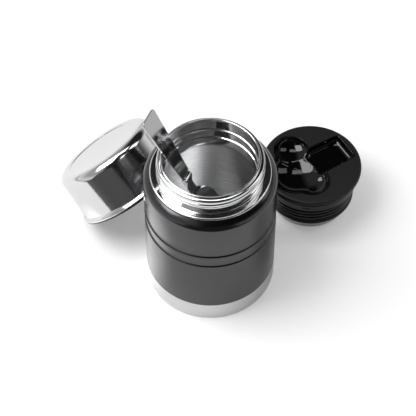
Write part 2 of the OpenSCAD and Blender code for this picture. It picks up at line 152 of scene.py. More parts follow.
def emboss(tree, shader, height, depth, strength=1.0):
    """A bump of a real depth in metres."""
    inputs = {"Height": height, "Distance": depth, "Strength": strength}
    bump = add_node(tree, "ShaderNodeBump", inputs)
    tree.links.new(bump.outputs["Normal"], shader.inputs["Normal"])


# %% [markdown]
# ## Floor, surroundings and lamps
# The object stands on a white table in a white studio. The floor keeps a diffuse part, so that it
# shows soft shadows, and adds a little light of its own for the camera, so that it reads white.
# Polished metal shows what stands round it: the white floor, the dark ceiling and a black card that
# lies in front of the jar, below the picture. The card is what turns the shoulder black.

# %% Floor
FLOOR_REACH = 6000
FLOOR_DROP = 0.05
FLOOR_GLOW = 0.2
TABLE_LEVEL, SHADE_LEVEL = 0.8, 0.05
# Mirrors see a painted glow on the table under the lamp and painted shade in the jar's shadow: place
# and reach in metres, and how much. The core is the share of the reach that has the full strength.
POOL_CORE = 0.3
PAINTED_LIGHT_POOL = ((-0.085, -0.005, 0), 0.055, 0.9)
PAINTED_SHADE_POOL = ((0.105, -0.005, 0), 0.065, 0.5)


def pool(tree, place, centre, reach, strength, shown):
    """A round patch of painted glow or painted shade on the table, strongest in its middle and shown
    only in some rays.
    """
    far = add_node(tree, "ShaderNodeVectorMath", {0: place, 1: centre}, operation="DISTANCE")
    patch = add_node(tree, "ShaderNodeMapRange",
                     {"Value": far.outputs["Value"], "From Min": reach,
                      "From Max": reach * POOL_CORE, "To Max": strength},
                     interpolation_type="SMOOTHSTEP")
    return reckon(tree, "MULTIPLY", patch.outputs["Result"], shown)


def table_finish():
    material, tree, shader = new_finish("table_white", {
        "Roughness": 0.6, "Specular IOR Level": 0.1, "Emission Color": grey(1)})
    rays = add_node(tree, "ShaderNodeLightPath").outputs
    place = object_place(tree)
    # Painted light and shade on the table: a glow under the lamp and a shadow beside the jar, seen only
    # by mirrors
    painted_glow = pool(tree, place, *PAINTED_LIGHT_POOL, rays["Is Glossy Ray"])
    painted_shade = pool(tree, place, *PAINTED_SHADE_POOL, rays["Is Glossy Ray"])
    shade = add_node(tree, "ShaderNodeMix",
                     {"Factor": painted_shade, "A": grey(TABLE_LEVEL), "B": grey(SHADE_LEVEL)}, data_type="RGBA")
    tree.links.new(shade.outputs["Result"], shader.inputs["Base Color"])
    # The camera sees an even glow, and mirrors also see the painted glow of the pool
    glow = reckon(tree, "MULTIPLY_ADD", rays["Is Camera Ray"], FLOOR_GLOW, painted_glow)
    tree.links.new(glow, shader.inputs["Emission Strength"])
    return material


def strip(name, rows, material):
    """A strip of faces through pairs of corners in millimetres."""
    mesh = bpy.data.meshes.new(name)
    corners = [[v * MM for v in corner] for row in rows for corner in row]
    faces = [(i, i + 1, i + 3, i + 2) for i in range(0, len(corners) - 2, 2)]
    mesh.from_pydata(corners, [], faces)
    mesh.materials.append(material)
    return add_object(name, mesh)


floor = strip("floor", [[(x * FLOOR_REACH, y * FLOOR_REACH, -FLOOR_DROP) for x in (-1, 1)]
                        for y in (-1, 1)], table_finish())
print("floor reaches", FLOOR_REACH, "mm")

# %% Surroundings
# The level of the soft fill light, and of what metal mirrors: a white horizon under a ceiling
# that is light on the left and dark elsewhere. The borders are parts of a direction.
FILL_LEVEL = 0.43
HORIZON_LEVEL, LEFT_LEVEL, CEILING_LEVEL = 0.85, 0.4, 0.015
HORIZON_HEIGHT, CEILING_HEIGHT = 0.02, 0.42
LIGHT_UNTIL, DARK_FROM = -0.45, -0.1


def make_studio():
    world = bpy.data.worlds.new("studio")
    SCENE.world = world
    world.use_nodes = True
    tree = world.node_tree
    tree.nodes.clear()
    direction = add_node(tree, "ShaderNodeTexCoord").outputs["Generated"]
    sides = add_node(tree, "ShaderNodeSeparateXYZ", {"Vector": direction}).outputs
    ceiling = add_node(tree, "ShaderNodeMapRange",
                       {"Value": sides["X"], "From Min": LIGHT_UNTIL, "From Max": DARK_FROM,
                        "To Min": LEFT_LEVEL, "To Max": CEILING_LEVEL},
                       interpolation_type="SMOOTHSTEP").outputs["Result"]
    mirrored = add_node(tree, "ShaderNodeMapRange",
                        {"Value": sides["Z"], "From Min": HORIZON_HEIGHT, "From Max": CEILING_HEIGHT,
                         "To Min": HORIZON_LEVEL, "To Max": ceiling},
                        interpolation_type="SMOOTHSTEP").outputs["Result"]
    rays = add_node(tree, "ShaderNodeLightPath").outputs
    lit = add_node(tree, "ShaderNodeMix",
                   {"Factor": rays["Is Glossy Ray"], "A": FILL_LEVEL, "B": mirrored})
    seen = add_node(tree, "ShaderNodeMix",
                    {"Factor": rays["Is Camera Ray"], "A": lit.outputs["Result"], "B": 1.0})
    sky = add_node(tree, "ShaderNodeBackground",
                   {"Color": grey(1), "Strength": seen.outputs["Result"]})
    out = add_node(tree, "ShaderNodeOutputWorld")
    tree.links.new(sky.outputs[0], out.inputs["Surface"])


make_studio()
print("studio with a fill of", FILL_LEVEL)

# %% The black card
# It lies on the table just outside the picture and rises towards the camera: its path in Y and Z,
# and half its width. Only mirrors see it, so that it doesn't stand in views from the sides.
CARD_PATH = ((-162, 0.5), (-480, 0.5), (-580, 40), (-640, 420))
CARD_HALF = 420

card = strip("black_card", [[(x, y, z) for x in (-CARD_HALF, CARD_HALF)] for y, z in CARD_PATH],
             new_finish("card_black", {"Base Color": grey(0.06), "Roughness": 0.9})[0])
card.visible_camera = False
card.visible_diffuse = False
card.visible_shadow = False
print("black card from", CARD_PATH[0][0], "to", CARD_PATH[-1][0])

# %% Lamps
# Name, place, size across and up, and watts. All lamps point at the middle of the group.
LAMP_AIM = Vector((0, 0, 60))
LAMPS = (
    ("key", (-480, -10, 820), (640, 640), 8.0),
    ("right", (950, 250, 1000), (420, 800), 1.8),
    ("top", (0, 330, 1450), (600, 400), 2.0),
)


def add_lamp(name, place, size, watts):
    data = bpy.data.lights.new(name, "AREA")
    data.shape = "RECTANGLE"
    data.size, data.size_y = size[0] * MM, size[1] * MM
    data.energy = watts
    lamp = add_object(name, data)
    lamp.location = Vector(place) * MM
    lamp.rotation_euler = (LAMP_AIM - Vector(place)).to_track_quat("-Z", "Y").to_euler()


for lamp in LAMPS:
    add_lamp(*lamp)
print("lamps:", ", ".join(lamp[0] for lamp in LAMPS))

# %% [markdown]
# ## Finishes
# The jar mixes four kinds of surface: satin paint with a fine metallic grain, steel that was turned
# and polished, plain brushed steel, and black plastic, either satin or like a mirror. Turned steel
# keeps faint lines round its axis, so its pattern follows the piece's own UV map, which the turning
# helper below lays along the profile.

# %% Painted body
# The paint's metal flakes differ a little in tone, and its roughness drifts in larger clouds
PAINT_DARK, PAINT_LIGHT = (0.074, 0.074, 0.077, 1), (0.096, 0.096, 0.099, 1)
FLAKE_SCALE, CLOUD_SCALE = 2600, 90


def paint_finish():
    finish, tree, shader = new_finish("satin_paint", {"Metallic": 1.0})
    place = object_place(tree)
    flake = noise(tree, place, FLAKE_SCALE, 1.0)
    tint = add_node(tree, "ShaderNodeMix",
                    {"Factor": spread(tree, flake, 0, 1), "A": PAINT_DARK, "B": PAINT_LIGHT},
                    data_type="RGBA")
    tree.links.new(tint.outputs["Result"], shader.inputs["Base Color"])
    roughen(tree, shader, noise(tree, place, CLOUD_SCALE, 3.0), 0.19, 0.24)
    emboss(tree, shader, flake, 0.00001, 0.5)
    return finish


PAINT = paint_finish()
print("finish", PAINT.name)

# %% Turned, brushed and drawn steel
# How fast the pattern changes round a turned piece, and along the lines of any other piece
LINES_AROUND, LINES_UPRIGHT = 0.8, 30
# From where to where the polish sets in, in millimetres about its height, and how rough it is
FADE_BELOW, FADE_ABOVE, POLISH = 4, 2, 0.07


def steel_finish(name, colour, low, high, lines_per_mm, depth, turned=True, polished_above=None):
    """Steel with fine lines: round the axis of a turned piece, or upright on any other piece.
    Above a given height in millimetres the steel is polished, so the lines fade there."""
    finish, tree, shader = new_finish(name, {"Base Color": (*colour, 1), "Metallic": 1.0})
    if turned:
        place = turned_place(tree, lines_per_mm, LINES_AROUND)
    else:
        scale = (lines_per_mm / MM, lines_per_mm / MM, LINES_UPRIGHT)
        place = add_node(tree, "ShaderNodeMapping",
                         {"Vector": object_place(tree), "Scale": scale}).outputs["Vector"]
    lines = noise(tree, place, 1.0, 3.0, 0.6)
    roughen(tree, shader, lines, low, high)
    emboss(tree, shader, lines, depth)
    if polished_above is not None:
        height = add_node(tree, "ShaderNodeSeparateXYZ", {"Vector": object_place(tree)}).outputs["Z"]
        shown = spread(tree, height, 1, 0, (polished_above - FADE_BELOW) * MM,
                       (polished_above + FADE_ABOVE) * MM)
        rough = add_node(tree, "ShaderNodeMix", {"Factor": shown, "A": POLISH,
                                                 "B": spread(tree, lines, low, high)})
        tree.links.new(rough.outputs["Result"], shader.inputs["Roughness"])
        bump = shader.inputs["Normal"].links[0].from_node
        tree.links.new(shown, bump.inputs["Strength"])
    return finish


STEEL = (0.80, 0.80, 0.805)
POLISHED = steel_finish("polished_steel", STEEL, 0.07, 0.12, 1.4, 0.0000008)
LINER_STEEL = steel_finish("liner_steel", (0.76, 0.76, 0.765), 0.26, 0.34, 1.2, 0.0000015,
                           polished_above=102)
BAND_STEEL = steel_finish("brushed_band", (0.72, 0.72, 0.725), 0.28, 0.40, 2.2, 0.000006)
CUP_STEEL = steel_finish("cup_steel", (0.72, 0.72, 0.725), 0.08, 0.14, 1.2, 0.000001)
PLAIN_STEEL = steel_finish("plain_steel", (0.6, 0.6, 0.605), 0.32, 0.42, 1.0, 0.000002, turned=False)
SPOON_STEEL = steel_finish("spoon_steel", (0.6, 0.6, 0.605), 0.06, 0.1, 1.5, 0.0000006,
                           turned=False)
GETTER_METAL = steel_finish("getter_metal", (0.35, 0.35, 0.36), 0.5, 0.65, 2.0, 0.00001, turned=False)
print("seven kinds of metal")

# %% Plastic, silicone, foil and foam
def grained_finish(name, values, scale, low, high, depth):
    """A moulded surface: a fine even grain in its roughness and its bump."""
    finish, tree, shader = new_finish(name, values)
    grain = noise(tree, object_place(tree), scale, 3.0)
    roughen(tree, shader, grain, low, high)
    emboss(tree, shader, grain, depth)
    return finish


SATIN_BLACK = grained_finish("satin_black", {"Base Color": grey(0.008)}, 1800, 0.34, 0.42, 0.000008)
GLOSS_BLACK = grained_finish("gloss_black", {"Base Color": grey(0.0012)}, 60, 0.03, 0.07, 0.000006)
RING_BLACK = grained_finish("ring_black", {"Base Color": grey(0.01)}, 900, 0.2, 0.28, 0.000004)
SILICONE = grained_finish("silicone", {"Base Color": grey(0.015), "Sheen Weight": 0.1},
                          1200, 0.45, 0.6, 0.00001)
FOAM = grained_finish("foam", {"Base Color": (0.85, 0.83, 0.75, 1)}, 700, 0.8, 0.95, 0.0003)
FOIL = grained_finish("copper_foil", {"Base Color": (0.75, 0.45, 0.3, 1), "Metallic": 1.0},
                      120, 0.12, 0.3, 0.0002)
print("six other finishes")

# %% [markdown]
# ## Drawing profiles
# Most pieces of the jar are turned: the sheet was spun or pressed round an axis. So each is drawn
# once as a profile of radius and height. A wall is that line and a second one beside it, and every
# bend gets a small radius, because sheet metal has no sharp corner.

# %% Helpers for profiles
def arc(centre, radius, start, end, steps=14):
    """Points of an arc, with angles in degrees."""
    angles = [math.radians(start + (end - start) * i / steps) for i in range(steps + 1)]
    return [(centre[0] + radius * math.cos(a), centre[1] + radius * math.sin(a)) for a in angles]


def curve(p0, p1, p2, p3, steps=20):
    """A curve that leaves p0 towards p1 and arrives at p3 from p2."""
    points = []
    for i in range(steps + 1):
        t = i / steps
        s = 1 - t
        points.append(tuple(s ** 3 * a + 3 * s * s * t * b + 3 * s * t * t * c + t ** 3 * d
                            for a, b, c, d in zip(p0, p1, p2, p3)))
    return points


def between(a, b, share):
    return a + (b - a) * share


def left_of(p, q):
    step = math.hypot(q[0] - p[0], q[1] - p[1])
    return (p[1] - q[1]) / step, (q[0] - p[0]) / step


def beside(path, distance):
    """The path moved to its left, with mitred corners."""
    moved = []
    last = len(path) - 1
    for i, (x, y) in enumerate(path):
        a = left_of(path[max(i - 1, 0)], path[max(i, 1)])
        b = left_of(path[min(i, last - 1)], path[min(i + 1, last)])
        m = (a[0] + b[0], a[1] + b[1])
        k = 2 * distance / (m[0] ** 2 + m[1] ** 2)
        moved.append((x + m[0] * k, y + m[1] * k))
    return moved


# Corners that turn less than this, in radians, stay as they are. A rounding takes at most this share
# of the line on either side.
SLIGHT_TURN, CORNER_SHARE = 0.15, 0.45


def softened(path, radius, steps=5):
    """The path with its corners rounded."""
    points = [path[0]]
    for p, q, r in zip(path, path[1:], path[2:]):
        before, after = math.dist(p, q), math.dist(q, r)
        turn = math.acos(max(-1, min(1, sum(a * b for a, b in zip(left_of(p, q), left_of(q, r))))))
        if turn < SLIGHT_TURN:
            points.append(q)
            continue
        cut = min(radius * math.tan(turn / 2), before * CORNER_SHARE, after * CORNER_SHARE)
        start = [between(q[k], p[k], cut / before) for k in (0, 1)]
        end = [between(q[k], r[k], cut / after) for k in (0, 1)]
        for i in range(steps + 1):
            t = i / steps
            points.append(tuple((1 - t) ** 2 * start[k] + 2 * t * (1 - t) * q[k] + t * t * end[k]
                                for k in (0, 1)))
    return points + [path[-1]]


def sheet(path, thickness, radius=0.3):
    """The section of a sheet that lies on the left of the path."""
    return softened(path, radius) + softened(beside(path, thickness), radius)[::-1]


# %% [markdown]
# ## Turning a profile
# Blender could turn a profile with its Screw modifier. Here the mesh is written directly, because
# each corner then also gets a UV: the share of the full turn, and the length along the profile in
# millimetres. The steel lines use both. The seam lies at the back.

# %% The turning helper
SIDES = 192
SHARP_ANGLE = math.radians(38)
WELD = 0.0005


def finish_mesh(name, work, place=None):
    """Closes a bmesh in millimetres into an object in metres, smooth except at sharp edges."""
    bmesh.ops.remove_doubles(work, verts=work.verts, dist=WELD)
    bmesh.ops.recalc_face_normals(work, faces=work.faces)
    mesh = bpy.data.meshes.new(name)
    work.to_mesh(mesh)
    work.free()
    mesh.transform(Matrix.Scale(MM, 4) @ (place or Matrix()))
    mesh.polygons.foreach_set("use_smooth", [True] * len(mesh.polygons))
    mesh.set_sharp_from_angle(angle=SHARP_ANGLE)
    return add_object(name, mesh)


def turned(name, section, place=None, sides=SIDES):
    """A turned piece from a closed section, or from one that starts and ends on the axis.
    The section is a list of radius and height, or a function of the angle that gives one."""
    at = section if callable(section) else lambda angle: section
    angles = [math.pi / 2 + math.tau * k / sides for k in range(sides)]
    columns = [at(a) for a in angles]
    first = columns[0]
    length = [0]
    for p, q in zip(first, first[1:]):
        length.append(length[-1] + math.dist(p, q))
    work = bmesh.new()
    uv = work.loops.layers.uv.new("turned")
    rings = []
    for i, (radius, height) in enumerate(first):
        if radius == 0:
            rings.append([work.verts.new((0, 0, height))] * sides)
        else:
            rings.append([work.verts.new((c[i][0] * math.cos(a), c[i][0] * math.sin(a), c[i][1]))
                          for a, c in zip(angles, columns)])
    pairs = list(zip(range(len(first)), range(1, len(first))))
    if first[0][0] != 0:
        pairs.append((len(first) - 1, 0))
    for i, j in pairs:
        for k in range(sides):
            n = (k + 1) % sides
            corners = [(rings[i][k], k, i), (rings[i][n], k + 1, i), (rings[j][n], k + 1, j),
                       (rings[j][k], k, j)]
            if rings[i][0] is rings[i][1]:
                del corners[1]
            elif rings[j][0] is rings[j][1]:
                del corners[2]
            face = work.faces.new([c[0] for c in corners])
            for loop, (_, turn, row) in zip(face.loops, corners):
                loop[uv].uv = (turn / sides, length[row])
    return finish_mesh(name, work, place)


def dress(piece, finish, body, slot, *nodes):
    """Gives a piece its finish, the body that it moves with and the CAD nodes that it stands for."""
    piece.data.materials.clear()
    piece.data.materials.append(finish)
    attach(piece, body)
    if nodes:
        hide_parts(*nodes)
    print(piece.name, "on", body, "with", len(piece.data.polygons), "faces")


# %% [markdown]
# ## The painted body
# The outer wall is one drawn tube. Two shallow grooves are rolled into it for grip and stiffness,
# and its upper end curves in under the ledge of the neck. It ends in a small step where the bare
# base band takes over.

# %% Sizes of the jar
STEEL_T = 0.6
BODY_R, BAND_H = 47.0, 16.6
LEDGE_R, LEDGE_Z, LEDGE_ROLL = 42.4, 115.4, 1.0
NECK_R, NECK_H = 37.2, 14.6
MOUTH_R, SEAT_R, LINER_R = 33.4, 32.4, 41.3
LIP_R, LIP_Z, LIP_BEAD = 34.15, 129.25, 0.75
SHOULDER_Z, SHOULDER_TOP_Z = 107.1, 114.1
PLATE_Z, WELL_Z, WELL_ROUND = 5.2, 10.9, 9.0
SEAT_Z, FLARE_TOP_Z, FLARE_Z = 111.5, 104.0, 93.0

# %% The painted body
GROOVE_Z = (68.55, 79.77)
GROOVE_D, GROOVE_W = 0.8, 7.4
SHOULDER_BEND, BODY_CORNER = 0.4, 0.5


def body_section():
    path = [(BODY_R - STEEL_T, PLATE_Z), (BODY_R - STEEL_T, BAND_H), (BODY_R, BAND_H)]
    for z in GROOVE_Z:
        half = GROOVE_W / 2
        path += [(BODY_R, z - half), (BODY_R - GROOVE_D, z - half + GROOVE_D),
                 (BODY_R - GROOVE_D, z + half - GROOVE_D), (BODY_R, z + half)]
    bend = between(SHOULDER_Z, SHOULDER_TOP_Z, SHOULDER_BEND)
    path += curve((BODY_R, SHOULDER_Z), (BODY_R, bend),
                  (between(BODY_R, LEDGE_R, 0.5), between(bend, SHOULDER_TOP_Z, 0.5)),
                  (LEDGE_R, SHOULDER_TOP_Z - STEEL_T))
    return sheet(path + [(LEDGE_R, SHOULDER_TOP_Z)], STEEL_T, BODY_CORNER)


dress(turned("painted_body", body_section()), PAINT, "jar", "body_paint", "body_shell")

# %% [markdown]
# ## The polished neck
# The neck is a pressed steel collar. Its turned-down edge sits on the shoulder of the body, a flat
# ledge leads to the upright wall, and the wall bends in under the lip.

# %% The neck
NECK_FILLET, NECK_BEND, NECK_FULLNESS = 0.83, 0.1, 0.85


def neck_section():
    top_z = LIP_Z - LIP_BEAD
    turn_z = top_z - NECK_H * NECK_BEND
    path = [(LEDGE_R, SHOULDER_TOP_Z)]
    path += arc((LEDGE_R - LEDGE_ROLL, LEDGE_Z - LEDGE_ROLL), LEDGE_ROLL, 0, 90)
    path += arc((NECK_R + NECK_FILLET, LEDGE_Z + NECK_FILLET), NECK_FILLET, 270, 180, 8)
    path += curve((NECK_R, turn_z), (NECK_R, between(turn_z, top_z, NECK_FULLNESS)),
                  (between(NECK_R, LIP_R, NECK_FULLNESS / 2), top_z),
                  (between(NECK_R, LIP_R, NECK_FULLNESS), top_z))
    return sheet(path + [(MOUTH_R + STEEL_T, top_z)], STEEL_T)


dress(turned("polished_neck", neck_section()), POLISHED, "jar", "polished_steel", "neck_ring")

# %% [markdown]
# ## The inner vessel
# The vessel that holds the food is deep drawn, then necked in. Below the mouth it has a narrow band
# with a seat for the stopper's gasket, and its upper edge is rolled into a round bead: the lip.

# %% The inner vessel
FLARE_FULLNESS, SEAT_SLOPE, VESSEL_CORNER = 0.6, 0.5, 0.5


def vessel_section():
    path = [(0, WELL_Z)] + arc((LINER_R - WELL_ROUND, WELL_Z + WELL_ROUND), WELL_ROUND, -90, 0)
    path += curve((LINER_R, FLARE_Z), (LINER_R, between(FLARE_Z, FLARE_TOP_Z, FLARE_FULLNESS)),
                  (SEAT_R, between(FLARE_TOP_Z, FLARE_Z, FLARE_FULLNESS)), (SEAT_R, FLARE_TOP_Z))
    path += [(SEAT_R, SEAT_Z - SEAT_SLOPE), (MOUTH_R, SEAT_Z), (MOUTH_R, LIP_Z - LIP_BEAD)]
    inside = softened(path, VESSEL_CORNER)
    outside = softened(beside(path, -STEEL_T), VESSEL_CORNER)
    return inside + arc((LIP_R, LIP_Z), LIP_BEAD, 180, -80) + outside[::-1]


dress(turned("inner_vessel", vessel_section()), LINER_STEEL, "jar", "liner_steel", "liner")

# %% [markdown]
# ## The base band
# A shallow cup of bare brushed steel closes the jar from below. Its edge is rolled, it stands on a
# narrow ring, and the middle is raised a little off the table.

# %% The base band
FOOT_ROLL, FOOT_H, FOOT_W, BAND_GAP = 1.6, 1.2, 4.0, 0.05


def base_section():
    ring = BODY_R - FOOT_ROLL - FOOT_W
    path = [(0, FOOT_H), (ring - FOOT_H, FOOT_H), (ring, 0)]
    path += arc((BODY_R - FOOT_ROLL, FOOT_ROLL), FOOT_ROLL, -90, 0)
    return sheet(path + [(BODY_R, BAND_H - BAND_GAP)], STEEL_T)


dress(turned("base_band", base_section()), BAND_STEEL, "jar", "brushed_band", "base_cup")

# %% [markdown]
# ## Threads
# A thread is one ridge that climbs round a wall and fades out at both ends. It repeats a rule, so
# Geometry Nodes make it: a spiral, a thickness that eases in and out along it, and a flat profile
# with round corners swept along. One tree serves the neck, the mouth, the stopper and the cup.

# %% The thread tree
THREAD_SIZES = ("Radius", "Climb", "Turns", "Ridge", "Width", "Foot", "Start")
# Steps to a turn, the part of the thickness that is left at the ends, and the share of the length
# that fades
THREAD_STEPS, THREAD_END, THREAD_FADE = 128, 0.05, 0.06
THREAD_CORNER, CORNER_STEPS = 0.7, 5


def thread_tree():
    tree = bpy.data.node_groups.new("screw_thread", "GeometryNodeTree")
    for label in THREAD_SIZES:
        tree.interface.new_socket(label, in_out="INPUT", socket_type="NodeSocketFloat")
    tree.interface.new_socket("Finish", in_out="INPUT", socket_type="NodeSocketMaterial")
    tree.interface.new_socket("Geometry", in_out="OUTPUT", socket_type="NodeSocketGeometry")
    given = tree.nodes.new("NodeGroupInput").outputs
    result = tree.nodes.new("NodeGroupOutput").inputs
    spiral = add_node(tree, "GeometryNodeCurveSpiral",
                      {"Resolution": THREAD_STEPS, "Rotations": given["Turns"],
                       "Start Radius": given["Radius"], "End Radius": given["Radius"],
                       "Height": given["Climb"], "Reverse": True})
    lift = add_node(tree, "ShaderNodeCombineXYZ", {"Z": given["Foot"]})
    twist = add_node(tree, "ShaderNodeCombineXYZ", {"Z": given["Start"]})
    placed = add_node(tree, "GeometryNodeTransform",
                      {"Geometry": spiral.outputs["Curve"], "Translation": lift.outputs[0],
                       "Rotation": twist.outputs[0]})
    share = add_node(tree, "GeometryNodeSplineParameter").outputs["Factor"]
    nearest = reckon(tree, "MINIMUM", share, reckon(tree, "SUBTRACT", 1.0, share))
    ease = add_node(tree, "ShaderNodeMapRange",
                    {"Value": nearest, "From Max": THREAD_FADE, "To Min": THREAD_END},
                    interpolation_type="SMOOTHSTEP")
    upright = add_node(tree, "GeometryNodeSetCurveNormal",
                       {"Curve": placed.outputs["Geometry"]}, mode="Z_UP")
    depth = reckon(tree, "MULTIPLY", given["Ridge"], 2.0)
    box = add_node(tree, "GeometryNodeCurvePrimitiveQuadrilateral",
                   {"Width": depth, "Height": given["Width"]})
    ring = add_node(tree, "GeometryNodeFilletCurve",
                    {"Curve": box.outputs["Curve"], "Count": CORNER_STEPS, "Radius": THREAD_CORNER,
                     "Limit Radius": True}, mode="POLY")
    swept = add_node(tree, "GeometryNodeCurveToMesh",
                     {"Curve": upright.outputs["Curve"], "Profile Curve": ring.outputs["Curve"],
                      "Scale": ease.outputs["Result"], "Fill Caps": True})
    smooth = add_node(tree, "GeometryNodeSetShadeSmooth", {"Geometry": swept.outputs["Mesh"]})
    real = add_node(tree, "GeometryNodeRealizeInstances", {"Geometry": smooth.outputs["Geometry"]})
    finished = add_node(tree, "GeometryNodeSetMaterial",
                        {"Geometry": real.outputs["Geometry"], "Material": given["Finish"]})
    tree.links.new(finished.outputs["Geometry"], result["Geometry"])
    return tree


THREAD_TREE = thread_tree()
print("thread tree with", len(THREAD_TREE.nodes), "nodes")

# %% Making a mesh with the tree
def thread(name, finish, radius, ridge, width, foot, climb, turns, start, place=None):
    """A thread on a wall of a radius, so high and so wide, from a foot height up through a climb.
    The tree runs once, and its result is kept as a plain mesh."""
    values = dict(zip(THREAD_SIZES, (radius, climb, turns, ridge, width, foot, math.radians(start))))
    values["Finish"] = finish
    holder = add_object(name, bpy.data.meshes.new(name))
    modifier = holder.modifiers.new("grow", "NODES")
    modifier.node_group = THREAD_TREE
    for socket in THREAD_TREE.interface.items_tree:
        if socket.in_out == "INPUT":
            modifier[socket.identifier] = values[socket.name]
    result = holder.evaluated_get(bpy.context.evaluated_depsgraph_get())
    mesh = bpy.data.meshes.new_from_object(result)
    bpy.data.objects.remove(holder)
    mesh.transform(Matrix.Scale(MM, 4) @ (place or Matrix()))
    made = add_object(name, mesh)
    far = [math.hypot(v.co.x, v.co.y) / MM for v in made.data.vertices]
    print("%s spans a radius of %.2f to %.2f mm" % (name, min(far), max(far)))
    return made


# %% The neck's thread and the mouth's thread
neck_thread = thread("neck_thread", POLISHED, NECK_R, ridge=0.6, width=3.0, foot=118.2, climb=7.6,
                     turns=1.3, start=295)
dress(neck_thread, POLISHED, "jar", "polished_steel")
mouth_thread = thread("mouth_thread", LINER_STEEL, MOUTH_R, ridge=0.8, width=1.9, foot=114.6,
                      climb=7.4, turns=1.45, start=120)
dress(mouth_thread, LINER_STEEL, "jar", "liner_steel")

# %% [markdown]
# ## The stopper's plug
# The stopper stands upside up beside the jar. From below: a polished steel pan, the gasket, the
# plug with its thread, the tapered skirt, a narrow shadow gap and the disc.

# %% The stopper's place and sizes
STOPPER_CENTRE = (75.8393, 63.6367)
STOPPER = Matrix.Translation((*STOPPER_CENTRE, 0))
PAN_R, PAN_H, GASKET_T = 29.0, 9.0, 3.0
PLUG_R, PLUG_Z, SKIRT_Z = 31.4, 27.5, 36.5
GASKET_SEAT_R, GASKET_R = 30.2, 33.0
SKIRT_LOW_R, SKIRT_R, GAP_R = 34.8, 36.6, 35.9
DISC_R, DISC_Z, STOPPER_H = 37.5, 38.0, 41.0
MOULD_T, MOULD_BEND, MOULD_CORNER = 1.2, 0.8, 0.4
PLUG_THREAD_R = 31.7

# %% Pan, gasket and plug
def pan_section():
    path = [(0, 0)] + arc((PAN_R - FOOT_ROLL, FOOT_ROLL), FOOT_ROLL, -90, 0)
    top = PAN_H - STEEL_T
    path += [(PAN_R, top - STEEL_T), (PAN_R + STEEL_T, top), (PLUG_R, top)]
    return sheet(path, STEEL_T)


def gasket_section():
    edge = GASKET_T / 4
    low, high = PAN_H, PAN_H + GASKET_T
    path = [(GASKET_SEAT_R, low), (GASKET_R - edge * 2, low)]
    path += arc((GASKET_R - edge, low + edge * 2), edge, -70, 70)
    return path + [(GASKET_R - edge * 2, high), (GASKET_SEAT_R, high)]


def plug_section():
    bend = MOULD_T * MOULD_BEND
    path = [(GASKET_SEAT_R, PAN_H), (GASKET_SEAT_R, PAN_H + GASKET_T), (PLUG_R, PAN_H + GASKET_T),
            (PLUG_R, PLUG_Z)]
    path += arc((SKIRT_LOW_R - bend, PLUG_Z + bend), bend, -90, 0, 8)
    path += [(SKIRT_R, SKIRT_Z), (GAP_R, SKIRT_Z), (GAP_R, DISC_Z)]
    return sheet(path, MOULD_T, MOULD_CORNER)


dress(turned("steel_pan", pan_section(), STOPPER), POLISHED, "stopper", "polished_steel",
      "stopper_base")
dress(turned("gasket", gasket_section(), STOPPER), SILICONE, "stopper", "gasket_silicone",
      "stopper_gasket")
dress(turned("plug_and_skirt", plug_section(), STOPPER), SATIN_BLACK, "stopper", "stopper_satin",
      "stopper_body")
plug_thread = thread("plug_thread", RING_BLACK, PLUG_THREAD_R, ridge=1.2, width=2.1, foot=13.8,
                     climb=12.2, turns=3.6, start=40, place=STOPPER)
dress(plug_thread, RING_BLACK, "stopper", "stopper_satin")

# %% [markdown]
# ## The spoon tray in the disc
# The top of the stopper holds the folded spoon: a round hollow for its bowl, a slot for its handle,
# and two side hollows where finger and thumb reach under it. All four have a soft floor.
# A grid laid out in rays from the middle fits the joint outline exactly, and its depth is a soft
# maximum of the four hollows, so they flow into each other as in a moulding.

# %% The outline of the tray
TRAY_TURN = math.radians(31)
TRAY_T = 1.2
HOLLOW = {"centre": (-14.0, 0.0), "radius": 19.4, "depth": 11.0}
FINGER = {"centre": (-8.0, -12.4), "radius": 13.2, "depth": 8.2}
THUMB = {"centre": (-5.5, 18.6), "radius": 12.8, "depth": 7.4}
SLOT_NEAR, SLOT_FAR, SLOT_START, SLOT_REACH = 10.9, 13.2, -8.0, 32.0
SLOT_DEPTH, SLOT_CORNER = 6.0, 2.6
TRAY_RAYS = 360
SOFT_WIDTH = 3


def ray_to_circle(a, circle):
    """How far a ray from the middle runs until it leaves a circle, or 0 if it misses it."""
    cx, cy = circle["centre"]
    along = cx * math.cos(a) + cy * math.sin(a)
    apart = circle["radius"] ** 2 - (cx * cx + cy * cy - along * along)
    return max(0, along + math.sqrt(apart)) if apart > 0 else 0


def slot_half(y):
    return SLOT_FAR if y > 0 else SLOT_NEAR


def ray_to_slot(a):
    """How far a ray runs inside the slot, with rounded corners at its end."""
    half = slot_half(math.sin(a))
    x, y = math.cos(a), abs(math.sin(a))
    if x < TINY:
        return min(half / max(y, TINY), SLOT_START / min(x, -TINY))
    reach = min(SLOT_REACH / x, half / max(y, TINY))
    cx, cy = SLOT_REACH - SLOT_CORNER, half - SLOT_CORNER
    if reach * x > cx and reach * y > cy:
        along = cx * x + cy * y
        reach = along + math.sqrt(max(0, SLOT_CORNER ** 2 - (cx * cx + cy * cy - along * along)))
    return reach


def tray_reach_raw(a):
    return max(ray_to_slot(a), *(ray_to_circle(a, c) for c in (HOLLOW, FINGER, THUMB)))


RAW_REACH = [tray_reach_raw(math.tau * k / TRAY_RAYS) for k in range(TRAY_RAYS)]
SOFT_REACH = [sum(RAW_REACH[(k + i) % TRAY_RAYS] for i in range(-SOFT_WIDTH, SOFT_WIDTH + 1))
              / (2 * SOFT_WIDTH + 1) for k in range(TRAY_RAYS)]
print("the tray reaches from %.1f to %.1f mm" % (min(SOFT_REACH), max(SOFT_REACH)))

# %% The depth of the tray
# The higher the first power, the flatter the floor, and the lower the second, the steeper the wall
HOLLOW_POWERS = (2.3, 0.62)
SLOT_SIDE_POWERS, SLOT_END_POWERS, SLOT_RAMP = (7, 0.35), (14, 0.35), 4
BLEND = 7


def soft_floor(far, powers):
    """How deep a hollow is, from 1 in its middle to 0 at its edge."""
    return (1 - max(0, far) ** powers[0]) ** powers[1] if far < 1 else 0


